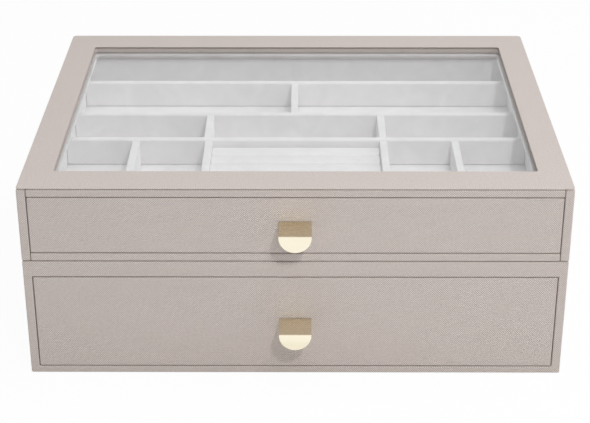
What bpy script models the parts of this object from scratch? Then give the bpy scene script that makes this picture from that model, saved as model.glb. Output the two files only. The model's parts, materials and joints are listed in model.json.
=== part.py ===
"""A jewellery box with drawers: a deep lower module, and a glazed upper module stacked on it.

Lengths are in metres. X is right, Y is back and Z is up, with the origin under the middle of the box.
"""

import math

import bmesh
import bpy
from mathutils import Vector

# The whole box
BOX_WIDTH = 0.3700
BOX_DEPTH = 0.2930
LOWER_HEIGHT = 0.0886
UPPER_HEIGHT = 0.0545

# Fits
TOUCH = 0.0003  # between pieces that lie on each other
FRONT_SIDE_GAP = 0.0006  # beside a drawer's front
FRONT_RISE_GAP = 0.0008  # above and below a drawer's front
SLIDE_SIDE_GAP = 0.0012  # beside a drawer's walls
SLIDE_FLOOR_GAP = 0.0006  # under a drawer
SLIDE_BACK_GAP = 0.0060  # behind a drawer that is shut
OVERRUN = 0.0020  # how far a cutter passes the face that it opens

# Wrapped boards of the two cases
SIDE_THICKNESS = 0.0060
BACK_THICKNESS = 0.0064
RAIL_DEPTH = 0.0064
LOWER_TOP_RAIL_HEIGHT = 0.0118
LOWER_TOP_THICKNESS = 0.0060
LOWER_BOTTOM_THICKNESS = 0.0048
UPPER_TOP_RAIL_HEIGHT = 0.0055
UPPER_BOTTOM_RAIL_HEIGHT = 0.0059
WRAPPED_EDGE = 0.0010
FELT_THICKNESS = 0.0005
FELT_EDGE_SHARE = 0.2500
FELT_INSET = 0.0080

# Glazed top
TOP_RIM_THICKNESS = 0.0006
TOP_SEAM = 0.0004  # between the top frame and the boards below it
TOP_FRAME_THICKNESS = 0.0047
TOP_FRAME_EDGE = 0.0002
WINDOW_SIDE_BORDER = 0.0210
WINDOW_FRONT_BORDER = 0.0276
WINDOW_BACK_BORDER = 0.0269
WINDOW_CORNER = 0.0015
WINDOW_LIP_THICKNESS = 0.0004
WINDOW_GROOVE_HEIGHT = 0.0012
WINDOW_GROOVE_DEPTH = 0.0015
GLASS_THICKNESS = 0.0020
GLASS_EDGE = 0.0002
RETAINER_THICKNESS = 0.0025
RETAINER_EDGE = 0.0004
PANE_CLEARANCE = 0.0010  # between the pane or its retainer and the boards round them

# Drawers
DRAWER_FRONT_THICKNESS = 0.0080
DRAWER_WALL_THICKNESS = 0.0054
DRAWER_WALL_DROP = 0.0031  # from the front's top edge down to the walls' top
DRAWER_WALL_EDGE = 0.0006
DRAWER_BOTTOM_THICKNESS = 0.0030
FLOOR_PAD_THICKNESS = 0.0023
LINER_THICKNESS = 0.0019
LINER_DROP = 0.0008
PAD_EDGE = 0.0004

# Compartments. The shares run from the inside of the drawer's front to the inside of its back,
# and from the drawer's middle to the inside of its wall.
DIVIDER_THICKNESS = 0.0054
DIVIDER_ROUND = 0.0020
UPPER_DIVIDER_HEIGHT = 0.0209
LOWER_DIVIDER_HEIGHT = 0.0450
UPPER_LONG_DIVIDER_SHARES = (0.2049, 0.4542, 0.6361, 0.8823)
INNER_COLUMN_SHARE = 0.3787
OUTER_COLUMN_SHARE = 0.6860
LOWER_LONG_DIVIDER_SHARE = 0.5500
RING_ROLL_PITCH = 0.0150
RING_ROLL_END = 0.0012
RING_BASE_THICKNESS = 0.0012

# Folded tab handles
HANDLE_WIDTH = 0.0220
HANDLE_PROJECTION = 0.0227
HANDLE_DROP = 0.0120
HANDLE_RISE = 0.0035  # of the handle's top above the middle of the drawer's front
HANDLE_SHEET = 0.0012
HANDLE_BEND = 0.0016
SCREW_SPACING = 0.0110
SCREW_DROP = 0.0052
SCREW_RADIUS = 0.0015
SCREW_HOLE_RADIUS = 0.0017
SCREW_HEAD_RADIUS = 0.0028
SCREW_HEAD_HEIGHT = 0.0017
SCREW_RECESS_RADIUS = 0.0032
SCREW_RECESS_DEPTH = 0.0022
AXIS_MERGE = 0.0001  # joins the points of a turned shape on its axis

# Facets of round shapes
EDGE_SEGMENTS = 2
ROUND_SEGMENTS = 3
BEND_SEGMENTS = 4
TAB_SEGMENTS = 20
ROLL_SIDES = 24
SCREW_SIDES = 16

# Places that follow from the sizes
FRONT = -BOX_DEPTH / 2
BACK = BOX_DEPTH / 2
OPENING_HALF = BOX_WIDTH / 2 - SIDE_THICKNESS
LOWER_FLOOR = FELT_THICKNESS + TOUCH
LOWER_OPENING_LOW = LOWER_FLOOR + LOWER_BOTTOM_THICKNESS
LOWER_OPENING_HIGH = LOWER_HEIGHT - LOWER_TOP_RAIL_HEIGHT
UPPER_BASE = LOWER_HEIGHT + TOUCH
BOX_TOP = UPPER_BASE + UPPER_HEIGHT
SIDE_TOP = BOX_TOP - TOP_RIM_THICKNESS - TOP_SEAM
UPPER_OPENING_LOW = UPPER_BASE + UPPER_BOTTOM_RAIL_HEIGHT
UPPER_OPENING_HIGH = SIDE_TOP - UPPER_TOP_RAIL_HEIGHT
WINDOW_HALF = BOX_WIDTH / 2 - WINDOW_SIDE_BORDER
WINDOW_FRONT = FRONT + WINDOW_FRONT_BORDER
WINDOW_BACK = BACK - WINDOW_BACK_BORDER

# Colours, as sRGB, with roughness and metallic value
FINISHES = {
    "taupe leatherette": ((0.76, 0.72, 0.70), 0.60, 0.0),
    "pale grey velvet": ((0.87, 0.87, 0.88), 0.90, 0.0),
    "lining paper": ((0.80, 0.79, 0.78), 0.85, 0.0),
    "base felt": ((0.55, 0.52, 0.50), 0.95, 0.0),
    "clear glass": ((0.93, 0.96, 0.95), 0.03, 0.0),
    "polished brass": ((0.85, 0.70, 0.45), 0.15, 1.0),
    "zinc plated steel": ((0.72, 0.73, 0.75), 0.30, 1.0),
}


def linear(value):
    """One sRGB channel as linear light."""
    return value / 12.92 if value <= 0.04045 else ((value + 0.055) / 1.055) ** 2.4


def make_finish(name):
    colour, roughness, metallic = FINISHES[name]
    material = bpy.data.materials.new(name)
    material.use_nodes = True
    shader = material.node_tree.nodes["Principled BSDF"]
    shader.inputs["Base Color"].default_value = (*map(linear, colour), 1)
    shader.inputs["Roughness"].default_value = roughness
    shader.inputs["Metallic"].default_value = metallic
    return material


def start_scene():
    """Clears the scene and makes the two collections and the finishes."""
    for thing in list(bpy.data.objects):
        bpy.data.objects.remove(thing, do_unlink=True)
    collections = []
    for name in ("jewellery_box", "cutters"):
        collections.append(bpy.data.collections.new(name))
        bpy.context.scene.collection.children.link(collections[-1])
    return *collections, {name: make_finish(name) for name in FINISHES}


parts, cutters, finishes = start_scene()


def make_body(name, place, parent=None):
    """An empty that carries the pieces of one rigid body."""
    body = bpy.data.objects.new(name, None)
    parts.objects.link(body)
    body.parent = parent
    body.location = Vector(place) - (parent.location if parent else Vector())
    return body


def world_place(body):
    place = Vector()
    while body:
        place += body.location
        body = body.parent
    return place


def add_piece(name, mesh, body, place, finish):
    """Puts a mesh on a body, with its origin at a point of the world."""
    piece = bpy.data.objects.new(name, mesh)
    parts.objects.link(piece)
    piece.parent = body
    piece.location = Vector(place) - world_place(body)
    mesh.materials.append(finishes[finish])
    return piece


def box_mesh(name, size):
    mesh = bpy.data.meshes.new(name)
    shape = bmesh.new()
    bmesh.ops.create_cube(shape, size=1)
    bmesh.ops.scale(shape, vec=size, verts=shape.verts)
    shape.to_mesh(mesh)
    shape.free()
    return mesh


def round_edges(piece, width, segments=EDGE_SEGMENTS):
    bevel = piece.modifiers.new("rounded edges", "BEVEL")
    bevel.width = width
    bevel.segments = segments
    bevel.limit_method = "ANGLE"
    return bevel


def board(name, body, low, high, edge, finish):
    """A board between two opposite corners, with rounded edges."""
    low, high = Vector(low), Vector(high)
    piece = add_piece(name, box_mesh(name, high - low), body, (low + high) / 2, finish)
    round_edges(piece, edge)
    return piece


def add_cutter(name, mesh, place):
    cutter = bpy.data.objects.new(name, mesh)
    cutters.objects.link(cutter)
    cutter.location = place
    cutter.hide_render = True
    cutter.display_type = "WIRE"
    return cutter


def box_cutter(name, low, high, corner=0):
    """A box between two corners, whose upright edges may be rounded."""
    low, high = Vector(low), Vector(high)
    mesh = box_mesh(name, high - low)
    if corner:
        shape = bmesh.new()
        shape.from_mesh(mesh)
        upright = [e for e in shape.edges if abs(e.verts[0].co.z - e.verts[1].co.z) > corner]
        bmesh.ops.bevel(shape, geom=upright, offset=corner, segments=ROUND_SEGMENTS, profile=0.5, affect="EDGES")
        shape.to_mesh(mesh)
        shape.free()
    return add_cutter(name, mesh, (low + high) / 2)


def boolean(piece, other, operation):
    cut = piece.modifiers.new(other.name, "BOOLEAN")
    cut.object = other
    cut.operation = operation


# The two cases


def make_lower_case(body):
    """A wrapped box of four boards, seamless at the front and open there and at the back."""
    half = BOX_WIDTH / 2
    shell_low, shell_high = Vector((-half, FRONT, LOWER_FLOOR)), Vector((half, BACK, LOWER_HEIGHT))
    mesh = box_mesh("lower_case_shell", shell_high - shell_low)
    shell = add_piece("lower_case_shell", mesh, body, (shell_low + shell_high) / 2, "taupe leatherette")
    mouth = box_cutter(
        "drawer mouth",
        (-OPENING_HALF, FRONT - OVERRUN, LOWER_OPENING_LOW),
        (OPENING_HALF, FRONT + RAIL_DEPTH + OVERRUN, LOWER_OPENING_HIGH),
    )
    inside_top = LOWER_HEIGHT - LOWER_TOP_THICKNESS
    hollow = box_cutter(
        "case hollow",
        (-OPENING_HALF, FRONT + RAIL_DEPTH, LOWER_OPENING_LOW),
        (OPENING_HALF, BACK + OVERRUN, inside_top),
    )
    boolean(shell, hollow, "DIFFERENCE")
    boolean(shell, mouth, "DIFFERENCE")
    round_edges(shell, WRAPPED_EDGE)
    board(
        "lower_back_board",
        body,
        (-OPENING_HALF + TOUCH, BACK - BACK_THICKNESS, LOWER_OPENING_LOW + TOUCH),
        (OPENING_HALF - TOUCH, BACK, inside_top - TOUCH),
        WRAPPED_EDGE,
        "taupe leatherette",
    )
    board(
        "lower_base_felt",
        body,
        (-half + FELT_INSET, FRONT + FELT_INSET, 0),
        (half - FELT_INSET, BACK - FELT_INSET, FELT_THICKNESS),
        FELT_EDGE_SHARE * FELT_THICKNESS,
        "base felt",
    )


def make_upper_case(body):
    """Two sides, a back and a bottom, with a rail above and below the drawer."""
    half = BOX_WIDTH / 2
    between = OPENING_HALF - TOUCH
    for side, sign in (("left", -1), ("right", 1)):
        near, far = sorted((sign * OPENING_HALF, sign * half))
        board(
            f"upper_{side}_side",
            body,
            (near, FRONT, UPPER_BASE),
            (far, BACK, SIDE_TOP),
            WRAPPED_EDGE,
            "taupe leatherette",
        )
    rails = {
        "upper_bottom_rail": (UPPER_BASE, UPPER_OPENING_LOW),
        "upper_top_rail": (UPPER_OPENING_HIGH, SIDE_TOP),
    }
    for name, (low, high) in rails.items():
        board(
            name,
            body,
            (-between, FRONT, low),
            (between, FRONT + RAIL_DEPTH, high),
            WRAPPED_EDGE,
            "taupe leatherette",
        )
    board(
        "upper_back_board",
        body,
        (-between, BACK - BACK_THICKNESS, UPPER_BASE),
        (between, BACK, SIDE_TOP),
        WRAPPED_EDGE,
        "taupe leatherette",
    )
    board(
        "upper_bottom_board",
        body,
        (-between, FRONT + RAIL_DEPTH + TOUCH, UPPER_BASE + FELT_THICKNESS + TOUCH),
        (between, BACK - BACK_THICKNESS - TOUCH, UPPER_OPENING_LOW),
        DRAWER_WALL_EDGE,
        "lining paper",
    )
    board(
        "upper_base_felt",
        body,
        (-half + SIDE_THICKNESS + FELT_INSET, FRONT + RAIL_DEPTH + FELT_INSET, UPPER_BASE),
        (half - SIDE_THICKNESS - FELT_INSET, BACK - BACK_THICKNESS - FELT_INSET, UPPER_BASE + FELT_THICKNESS),
        FELT_EDGE_SHARE * FELT_THICKNESS,
        "base felt",
    )


def window_cutter(name, margin, low, high):
    """The window's outline, widened by a margin, between two heights."""
    half = WINDOW_HALF + margin
    return box_cutter(
        name,
        (-half, WINDOW_FRONT - margin, low),
        (half, WINDOW_BACK + margin, high),
        WINDOW_CORNER + margin,
    )


def make_glazed_top(body):
    """The wrapped top frame, whose thicker middle drops between the boards, its pane and retainer.

    A groove runs round the window under the frame's thin lip.
    """
    half = BOX_WIDTH / 2
    drop_half = OPENING_HALF - TOUCH
    frame_low, frame_high = Vector((-half, FRONT, BOX_TOP - TOP_RIM_THICKNESS)), Vector((half, BACK, BOX_TOP))
    mesh = box_mesh("top_frame", frame_high - frame_low)
    frame = add_piece("top_frame", mesh, body, (frame_low + frame_high) / 2, "taupe leatherette")
    drop = box_cutter(
        "frame middle",
        (-drop_half, FRONT + RAIL_DEPTH + TOUCH, BOX_TOP - TOP_FRAME_THICKNESS),
        (drop_half, BACK - BACK_THICKNESS - TOUCH, BOX_TOP - TOP_RIM_THICKNESS / 2),
    )
    window = window_cutter("window", 0, BOX_TOP - TOP_FRAME_THICKNESS - OVERRUN, BOX_TOP + OVERRUN)
    groove_top = BOX_TOP - WINDOW_LIP_THICKNESS
    groove = window_cutter("window groove", WINDOW_GROOVE_DEPTH, groove_top - WINDOW_GROOVE_HEIGHT, groove_top)
    round_edges(frame, TOP_FRAME_EDGE)
    boolean(frame, drop, "UNION")
    boolean(frame, window, "DIFFERENCE")
    boolean(frame, groove, "DIFFERENCE")

    pane_half = OPENING_HALF - PANE_CLEARANCE
    pane_front = FRONT + max(RAIL_DEPTH, DRAWER_FRONT_THICKNESS) + PANE_CLEARANCE
    pane_back = BACK - BACK_THICKNESS - PANE_CLEARANCE
    glass_top = BOX_TOP - TOP_FRAME_THICKNESS - TOUCH
    board(
        "glass_pane",
        body,
        (-pane_half, pane_front, glass_top - GLASS_THICKNESS),
        (pane_half, pane_back, glass_top),
        GLASS_EDGE,
        "clear glass",
    )
    retainer_top = glass_top - GLASS_THICKNESS - TOUCH
    ring_low = Vector((-pane_half, pane_front, retainer_top - RETAINER_THICKNESS))
    ring_high = Vector((pane_half, pane_back, retainer_top))
    mesh = box_mesh("glass_retainer", ring_high - ring_low)
    ring = add_piece("glass_retainer", mesh, body, (ring_low + ring_high) / 2, "pale grey velvet")
    opening = window_cutter("retainer opening", 0, ring_low.z - OVERRUN, ring_high.z + OVERRUN)
    boolean(ring, opening, "DIFFERENCE")
    round_edges(ring, RETAINER_EDGE)


# The drawers


def cylinder_cutter(name, radius, start, end):
    """A cutter along Y, round a line from start to end."""
    start, end = Vector(start), Vector(end)
    mesh = bpy.data.meshes.new(name)
    shape = bmesh.new()
    bmesh.ops.create_cone(
        shape,
        cap_ends=True,
        segments=SCREW_SIDES,
        radius1=radius,
        radius2=radius,
        depth=(end - start).length,
    )
    shape.to_mesh(mesh)
    shape.free()
    cutter = add_cutter(name, mesh, (start + end) / 2)
    cutter.rotation_euler.x = math.radians(90)
    return cutter


def screw_places(handle_top):
    """The name, X and Z of each screw of a handle."""
    for side, sign in (("left", -1), ("right", 1)):
        yield side, sign * SCREW_SPACING / 2, handle_top - SCREW_DROP


def make_drawer_front(prefix, body, low, high, handle_top):
    """The wrapped front board, drilled for the handle's screws, with recesses for their heads."""
    half = OPENING_HALF - FRONT_SIDE_GAP
    inner = FRONT + DRAWER_FRONT_THICKNESS
    front_low, front_high = Vector((-half, FRONT, low)), Vector((half, inner, high))
    name = f"{prefix}_drawer_front"
    mesh = box_mesh(name, front_high - front_low)
    front = add_piece(name, mesh, body, (front_low + front_high) / 2, "taupe leatherette")
    round_edges(front, WRAPPED_EDGE)
    for side, x, z in screw_places(handle_top):
        shaft = cylinder_cutter(
            f"{prefix} {side} screw hole",
            SCREW_HOLE_RADIUS,
            (x, FRONT - OVERRUN, z),
            (x, inner + OVERRUN, z),
        )
        recess = cylinder_cutter(
            f"{prefix} {side} head recess",
            SCREW_RECESS_RADIUS,
            (x, inner - SCREW_RECESS_DEPTH, z),
            (x, inner + OVERRUN, z),
        )
        boolean(front, shaft, "DIFFERENCE")
        boolean(front, recess, "DIFFERENCE")


def make_drawer_box(prefix, body, under, wall_top):
    """The walls, bottom, floor pad and liners. Returns the lined inside as its low and high corners."""
    outer = OPENING_HALF - SLIDE_SIDE_GAP
    wall = outer - DRAWER_WALL_THICKNESS
    start = FRONT + DRAWER_FRONT_THICKNESS + TOUCH
    end = BACK - BACK_THICKNESS - SLIDE_BACK_GAP
    back_wall = end - DRAWER_WALL_THICKNESS
    name = f"{prefix}_drawer"
    for side, sign in (("left", -1), ("right", 1)):
        near, far = sorted((sign * wall, sign * outer))
        low, high = (near, start, under), (far, end, wall_top)
        board(f"{name}_{side}_wall", body, low, high, DRAWER_WALL_EDGE, "lining paper")
    inner = wall - TOUCH
    low, high = (-inner, back_wall, under), (inner, end, wall_top)
    board(f"{name}_back_wall", body, low, high, DRAWER_WALL_EDGE, "lining paper")
    bottom_top = under + DRAWER_BOTTOM_THICKNESS
    low, high = (-inner, start, under), (inner, back_wall - TOUCH, bottom_top)
    board(f"{name}_bottom", body, low, high, DRAWER_WALL_EDGE, "lining paper")
    floor = bottom_top + TOUCH + FLOOR_PAD_THICKNESS
    low, high = (-inner, start, bottom_top + TOUCH), (inner, back_wall - TOUCH, floor)
    board(f"{name}_floor_pad", body, low, high, PAD_EDGE, "pale grey velvet")

    inside_half = inner - LINER_THICKNESS
    inside_front = start + LINER_THICKNESS
    inside_back = back_wall - TOUCH - LINER_THICKNESS
    liner_low, liner_high = floor + TOUCH, wall_top - LINER_DROP
    for side, sign in (("left", -1), ("right", 1)):
        near, far = sorted((sign * inside_half, sign * inner))
        low, high = (near, start, liner_low), (far, back_wall - TOUCH, liner_high)
        board(f"{name}_{side}_liner", body, low, high, PAD_EDGE, "pale grey velvet")
    across = inside_half - TOUCH
    low, high = (-across, start, liner_low), (across, inside_front, liner_high)
    board(f"{name}_front_liner", body, low, high, PAD_EDGE, "pale grey velvet")
    low, high = (-across, inside_back, liner_low), (across, back_wall - TOUCH, liner_high)
    board(f"{name}_back_liner", body, low, high, PAD_EDGE, "pale grey velvet")
    return Vector((-inside_half, inside_front, floor)), Vector((inside_half, inside_back, liner_high))


def divider(name, body, start, end, floor, height):
    """A velvet-covered board on the floor pad, between two points in plan, with a rounded top."""
    start, end = Vector(start), Vector(end)
    along_x = abs(end.x - start.x) > abs(end.y - start.y)
    size = Vector((abs(end.x - start.x), DIVIDER_THICKNESS, height))
    if not along_x:
        size = Vector((DIVIDER_THICKNESS, abs(end.y - start.y), height))
    mesh = box_mesh(name, size)
    shape = bmesh.new()
    shape.from_mesh(mesh)
    along = 0 if along_x else 1
    top_edges = [
        edge
        for edge in shape.edges
        if min(v.co.z for v in edge.verts) > 0 and edge.verts[0].co[along] != edge.verts[1].co[along]
    ]
    bmesh.ops.bevel(
        shape, geom=top_edges, offset=DIVIDER_ROUND, segments=ROUND_SEGMENTS, profile=0.5, affect="EDGES"
    )
    shape.to_mesh(mesh)
    shape.free()
    middle = (start + end) / 2
    place = (middle.x, middle.y, floor + TOUCH + height / 2)
    return add_piece(name, mesh, body, place, "pale grey velvet")


def ring_roll(name, body, half_length, radius, y, z):
    """One padded roll along X, with soft ends."""
    mesh = bpy.data.meshes.new(name)
    shape = bmesh.new()
    bmesh.ops.create_cone(
        shape, cap_ends=True, segments=ROLL_SIDES, radius1=radius, radius2=radius, depth=2 * half_length
    )
    shape.to_mesh(mesh)
    shape.free()
    mesh.shade_smooth()
    roll = add_piece(name, mesh, body, (0, y, z), "pale grey velvet")
    roll.rotation_euler.y = math.radians(90)
    round_edges(roll, RING_ROLL_END)
    return roll


def fit_upper_tray(body, low, high):
    """Four long dividers, the cross dividers between them, and the ring rolls."""
    height = UPPER_DIVIDER_HEIGHT
    floor = low.z
    rows = [low.y + share * (high.y - low.y) for share in UPPER_LONG_DIVIDER_SHARES]
    reach = high.x - TOUCH
    for number, y in enumerate(rows, 1):
        name = f"upper_tray_long_divider_{number}"
        divider(name, body, (-reach, y, 0), (reach, y, 0), floor, height)

    step = DIVIDER_THICKNESS / 2 + TOUCH
    spans = [(low.y + TOUCH, rows[0] - step)]
    spans += [(near + step, far - step) for near, far in zip(rows, rows[1:])]
    inner, outer = INNER_COLUMN_SHARE * high.x, OUTER_COLUMN_SHARE * high.x
    columns = {
        1: {"left": -inner, "right": inner},
        2: {"far_left": -outer, "left": -inner, "right": inner, "far_right": outer},
        3: {"left": -inner, "right": inner},
        4: {"middle": 0},
    }
    for row, places in columns.items():
        near, far = spans[row - 1]
        for side, x in places.items():
            name = f"upper_tray_row_{row}_{side}_divider"
            divider(name, body, (x, near, 0), (x, far, 0), floor, height)

    bay_low, bay_high = rows[0] + step, rows[1] - step
    bay_half = inner - DIVIDER_THICKNESS / 2 - TOUCH
    base_low, base_high = floor + TOUCH, floor + TOUCH + RING_BASE_THICKNESS
    board(
        "ring_roll_base",
        body,
        (-bay_half, bay_low, base_low),
        (bay_half, bay_high, base_high),
        PAD_EDGE,
        "pale grey velvet",
    )
    count = max(1, round((bay_high - bay_low) / RING_ROLL_PITCH))
    pitch = (bay_high - bay_low) / count
    radius = (pitch - TOUCH) / 2
    for number in range(count):
        y = bay_high - pitch / 2 - number * pitch
        ring_roll(f"ring_roll_{number + 1}", body, bay_half, radius, y, base_high + TOUCH + radius)


def fit_lower_tray(body, low, high):
    """One long divider and one cross divider behind it."""
    y = low.y + LOWER_LONG_DIVIDER_SHARE * (high.y - low.y)
    reach = high.x - TOUCH
    height = LOWER_DIVIDER_HEIGHT
    divider("lower_tray_long_divider", body, (-reach, y, 0), (reach, y, 0), low.z, height)
    start = y + DIVIDER_THICKNESS / 2 + TOUCH
    divider("lower_tray_cross_divider", body, (0, start, 0), (0, high.y - TOUCH, 0), low.z, height)


def bend(centre_y, centre_z, first, last):
    """Points of a quarter bend in the handle's middle line, between two angles in degrees."""
    radius = HANDLE_BEND - HANDLE_SHEET / 2
    for step in range(BEND_SEGMENTS + 1):
        angle = math.radians(first + (last - first) * step / BEND_SEGMENTS)
        yield centre_y + radius * math.cos(angle), centre_z + radius * math.sin(angle)


def tab_outline_cutter(name, top):
    """The handle's outline from the front, straight above and half round below, run right through it."""
    radius = HANDLE_WIDTH / 2
    centre = top - HANDLE_DROP + radius
    shape = bmesh.new()
    outline = [(-radius, top + OVERRUN)]
    for step in range(TAB_SEGMENTS + 1):
        angle = math.pi * (1 + step / TAB_SEGMENTS)
        outline.append((radius * math.cos(angle), centre + radius * math.sin(angle)))
    outline.append((radius, top + OVERRUN))
    near, far = FRONT - HANDLE_PROJECTION - OVERRUN, FRONT
    face = shape.faces.new([shape.verts.new((x, near, z)) for x, z in outline])
    swept = bmesh.ops.extrude_face_region(shape, geom=[face])["geom"]
    moved = [v for v in swept if isinstance(v, bmesh.types.BMVert)]
    bmesh.ops.translate(shape, vec=(0, far - near, 0), verts=moved)
    bmesh.ops.recalc_face_normals(shape, faces=shape.faces)
    mesh = bpy.data.meshes.new(name)
    shape.to_mesh(mesh)
    shape.free()
    return add_cutter(name, mesh, (0, 0, 0))


def make_handle(prefix, body, top):
    """A strip of sheet folded into a leg on the drawer's front, a ledge and a half-round tab."""
    leg = FRONT - TOUCH - HANDLE_SHEET / 2
    tab = FRONT - HANDLE_PROJECTION + HANDLE_SHEET / 2
    radius = HANDLE_BEND - HANDLE_SHEET / 2
    level = top - HANDLE_SHEET / 2
    end = top - HANDLE_DROP - OVERRUN
    path = [(leg, end), *bend(leg - radius, level - radius, 0, 90)]
    path += [*bend(tab + radius, level - radius, 90, 180), (tab, end)]

    width = HANDLE_WIDTH + 2 * OVERRUN
    place = Vector((0, FRONT, top))
    shape = bmesh.new()
    points = [shape.verts.new(Vector((-width / 2, y, z)) - place) for y, z in path]
    edges = [shape.edges.new(pair) for pair in zip(points, points[1:])]
    swept = bmesh.ops.extrude_edge_only(shape, edges=edges)["geom"]
    moved = [v for v in swept if isinstance(v, bmesh.types.BMVert)]
    bmesh.ops.translate(shape, vec=(width, 0, 0), verts=moved)
    name = f"{prefix}_handle"
    mesh = bpy.data.meshes.new(name)
    shape.to_mesh(mesh)
    shape.free()
    handle = add_piece(name, mesh, body, place, "polished brass")
    sheet = handle.modifiers.new("sheet", "SOLIDIFY")
    sheet.thickness = HANDLE_SHEET
    sheet.offset = 0
    sheet.use_even_offset = True
    boolean(handle, tab_outline_cutter(f"{prefix} handle outline", top), "INTERSECT")
    for side, x, z in screw_places(top):
        hole = cylinder_cutter(
            f"{prefix} {side} thread",
            SCREW_HOLE_RADIUS,
            (x, FRONT - TOUCH - HANDLE_SHEET - OVERRUN, z),
            (x, FRONT + OVERRUN, z),
        )
        boolean(handle, hole, "DIFFERENCE")
        make_screw(f"{prefix}_handle_{side}_screw", body, x, z)


def make_screw(name, body, x, z):
    """A turned screw, with its head in the front's recess and its tip in the handle's leg."""
    seat = FRONT + DRAWER_FRONT_THICKNESS - SCREW_RECESS_DEPTH + TOUCH
    tip = FRONT - HANDLE_SHEET
    length = seat - tip
    profile = [
        (0, SCREW_HEAD_HEIGHT),
        (SCREW_HEAD_RADIUS, SCREW_HEAD_HEIGHT),
        (SCREW_HEAD_RADIUS, 0),
        (SCREW_RADIUS, 0),
        (SCREW_RADIUS, -length),
        (0, -length),
    ]
    mesh = bpy.data.meshes.new(name)
    shape = bmesh.new()
    points = [shape.verts.new((radius, 0, height)) for radius, height in profile]
    for pair in zip(points, points[1:]):
        shape.edges.new(pair)
    shape.to_mesh(mesh)
    shape.free()
    screw = add_piece(name, mesh, body, (x, seat, z), "zinc plated steel")
    screw.rotation_euler.x = math.radians(-90)
    turn = screw.modifiers.new("turned", "SCREW")
    turn.steps = turn.render_steps = SCREW_SIDES
    turn.use_merge_vertices = True
    turn.merge_threshold = AXIS_MERGE


def make_drawer(prefix, case, opening_low, opening_high, fit_tray):
    """A drawer in its case's mouth. Its empty lies on the line along which it slides."""
    low, high = opening_low + FRONT_RISE_GAP, opening_high - FRONT_RISE_GAP
    body = make_body(f"{prefix}_drawer", (0, FRONT, (low + high) / 2), case)
    handle_top = (low + high) / 2 + HANDLE_RISE
    make_drawer_front(prefix, body, low, high, handle_top)
    inside = make_drawer_box(prefix, body, opening_low + SLIDE_FLOOR_GAP, high - DRAWER_WALL_DROP)
    fit_tray(body, *inside)
    make_handle(prefix, body, handle_top)


def main():
    lower_case = make_body("lower_case", (0, 0, 0))
    upper_case = make_body("upper_case", (0, 0, UPPER_BASE))
    make_lower_case(lower_case)
    make_upper_case(upper_case)
    make_glazed_top(upper_case)
    make_drawer("lower", lower_case, LOWER_OPENING_LOW, LOWER_OPENING_HIGH, fit_lower_tray)
    make_drawer("upper", upper_case, UPPER_OPENING_LOW, UPPER_OPENING_HIGH, fit_upper_tray)


main()
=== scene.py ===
import json
import math

import bpy
import numpy as np
from mathutils import Matrix, Vector


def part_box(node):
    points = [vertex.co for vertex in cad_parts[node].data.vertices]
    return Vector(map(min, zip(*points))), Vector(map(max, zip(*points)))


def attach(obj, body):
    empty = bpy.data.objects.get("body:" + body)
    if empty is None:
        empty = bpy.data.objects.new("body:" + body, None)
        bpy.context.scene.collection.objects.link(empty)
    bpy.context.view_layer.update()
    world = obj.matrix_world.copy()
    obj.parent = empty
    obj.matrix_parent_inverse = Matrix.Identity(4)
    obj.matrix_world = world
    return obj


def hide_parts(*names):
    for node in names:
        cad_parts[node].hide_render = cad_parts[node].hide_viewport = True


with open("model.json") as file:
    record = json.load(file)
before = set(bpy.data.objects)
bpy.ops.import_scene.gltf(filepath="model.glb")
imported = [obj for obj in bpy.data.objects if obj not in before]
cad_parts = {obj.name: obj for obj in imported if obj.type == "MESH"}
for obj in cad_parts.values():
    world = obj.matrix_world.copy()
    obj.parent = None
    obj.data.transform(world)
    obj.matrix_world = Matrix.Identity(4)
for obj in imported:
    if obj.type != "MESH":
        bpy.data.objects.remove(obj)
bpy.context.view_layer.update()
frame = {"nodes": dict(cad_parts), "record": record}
behaviour = frame["record"]["behaviour"]
bodyOf = {node: body for body, members in behaviour["bodies"].items() for node in members}


# Camera and light

camera = {
    "place": (0.00462, -1.06868, 0.58697),
    "pitch": 26.525,  # degrees below the horizon
    "yaw": -0.2943,  # degrees
    "roll": -0.0648,
    "lens": 94.576,  # millimetres
    "sensor": 36.0,
}


def makeCamera():
    pitch, yaw, roll = (math.radians(camera[k]) for k in ("pitch", "yaw", "roll"))
    ahead = Vector((math.sin(yaw) * math.cos(pitch), math.cos(yaw) * math.cos(pitch), -math.sin(pitch)))
    level = ahead.cross(Vector((0, 0, 1))).normalized()
    upright = level.cross(ahead)
    right = level * math.cos(roll) + upright * math.sin(roll)
    up = upright * math.cos(roll) - level * math.sin(roll)
    data = bpy.data.cameras.new("camera")
    data.lens, data.sensor_width = camera["lens"], camera["sensor"]
    item = bpy.data.objects.new("camera", data)
    bpy.context.scene.collection.objects.link(item)
    turned = Matrix((right, up, -ahead)).transposed().to_4x4()
    item.matrix_world = Matrix.Translation(camera["place"]) @ turned
    bpy.context.scene.camera = item
    bpy.context.scene.view_settings.view_transform = "Standard"


light = {
    # the lamps: places and sizes in metres
    "key": {"place": (0.24, -1.06, 0.97), "size": (0.06, 0.06), "watts": 4.3, "colour": "#FFFFFF"},
    "overhead": {"place": (0.20, -0.10, 1.60), "size": (1.30, 1.30), "watts": 10.9, "colour": "#FDFDFF"},
    "side": {"place": (1.40, -0.20, 0.80), "size": (1.00, 0.80), "watts": 6.2, "colour": "#FDFDFF"},
    "card": {"place": (0.00, -0.56, 0.002), "size": (0.80, 0.66), "watts": 0.20, "colour": "#CFE2FF"},
    "target": (0.0, 0.0, 0.08),  # where the lamps point, but for the card
    "fill": 0.37,  # strength of the room's even light
    "floor": "#F4F3F1",
    "floorGlow": 0.95,  # how much of the floor's look is plain white; the rest keeps the shadow
    "floorHalf": 6.0,
    "floorDrop": 0.0002,  # below the box's foot, so that the two never lie in one plane
}


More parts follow.
